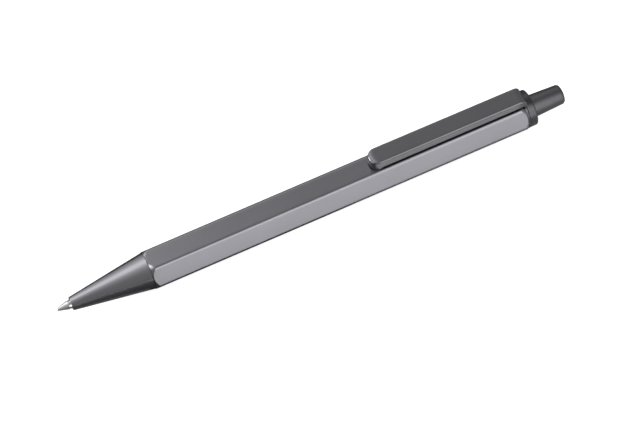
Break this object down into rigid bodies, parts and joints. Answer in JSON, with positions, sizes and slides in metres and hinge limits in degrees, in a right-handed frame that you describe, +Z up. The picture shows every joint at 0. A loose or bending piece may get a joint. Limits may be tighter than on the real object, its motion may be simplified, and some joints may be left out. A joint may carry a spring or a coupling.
{
  "type": "retractable ballpoint pen",
  "caption": "Push-button ballpoint pen with a hexagonal metal barrel, a screw-on tapered nose, a sprung channel clip and a slim tapered button, point out.",
  "frame": {"origin": "on the lower flat of the six-sided barrel, on the surface that the pen lies on, half way along the whole pen and midway across it", "axes": "+X along the pen from the point towards the push button, +Y across the pen, +Z up through the clip, away from the flat that the pen lies on"},
  "size_m": [0.1362, 0.011, 0.0127],
  "materials": {
    "barrel_anodised": "satin anodised, dark grey, finely brushed along the barrel",
    "nose_anodised": "satin anodised, dark grey, turned",
    "clip_steel": "satin dark grey coating on pressed sheet",
    "collar_anodised": "satin anodised, dark grey, turned",
    "button_anodised": "satin anodised, dark grey, turned",
    "black_plastic": "moulded, matte",
    "natural_plastic": "moulded, unpigmented",
    "spring_steel": "drawn wire",
    "refill_metal": "thin drawn tube, nickel plated",
    "ink": "thick oil-based ink",
    "brass": "turned",
    "point_metal": "turned nickel silver, bright",
    "ball_metal": "polished hard metal"
  },
  "bodies": {
    "barrel": {"barrel": "barrel_anodised", "clip_ring": "clip_steel", "rear_collar": "collar_anodised", "guide_sleeve": "natural_plastic"},
    "clip": {"clip_arm": "clip_steel"},
    "button": {"push_button": "button_anodised", "plunger": "black_plastic"},
    "rotor": {"rotor": "natural_plastic"},
    "spring": {"return_spring": "spring_steel"},
    "nose": {"nose_cone": "nose_anodised"},
    "refill": {"refill_tube": "refill_metal", "refill_ink": "ink", "refill_neck": "brass", "refill_point": "point_metal", "refill_end_plug": "natural_plastic"},
    "ball": {"point_ball": "ball_metal"}
  },
  "joints": [
    {"name": "button_press", "type": "slide", "parent": "barrel", "child": "button", "axis": [-1, 0, 0], "range_m": [-0.0052, 0.0012], "stiffness_N_per_m": 400},
    {"name": "rotor_index", "type": "hinge", "parent": "button", "child": "rotor", "pos_m": [0.0386, 0, 0.0048], "axis": [1, 0, 0], "continuous": true},
    {"name": "nose_advance", "type": "slide", "parent": "barrel", "child": "spring", "axis": [-1, 0, 0], "range_m": [0, 0.006]},
    {"name": "nose_unscrew", "type": "hinge", "parent": "spring", "child": "nose", "pos_m": [-0.04415, 0, 0.0048], "axis": [-1, 0, 0], "range_deg": [0, 2880]},
    {"name": "refill_slide", "type": "slide", "parent": "spring", "child": "refill", "axis": [-1, 0, 0], "range_m": [-0.0052, 0.0012], "deforming": ["return_spring"]},
    {"name": "ball_roll", "type": "hinge", "parent": "refill", "child": "ball", "pos_m": [-0.06775, 0, 0.0048], "axis": [0, 1, 0], "continuous": true},
    {"name": "clip_flex", "type": "hinge", "parent": "barrel", "child": "clip", "pos_m": [0.0567, 0, 0.0125], "axis": [0, 1, 0], "range_deg": [0, 3], "stiffness_Nm_per_rad": 3}
  ],
  "couplings": [
    {"joint": "nose_unscrew", "follows": "nose_advance", "rad_per_m": 8377.6},
    {"joint": "refill_slide", "follows": "button_press", "ratio": 1}
  ]
}
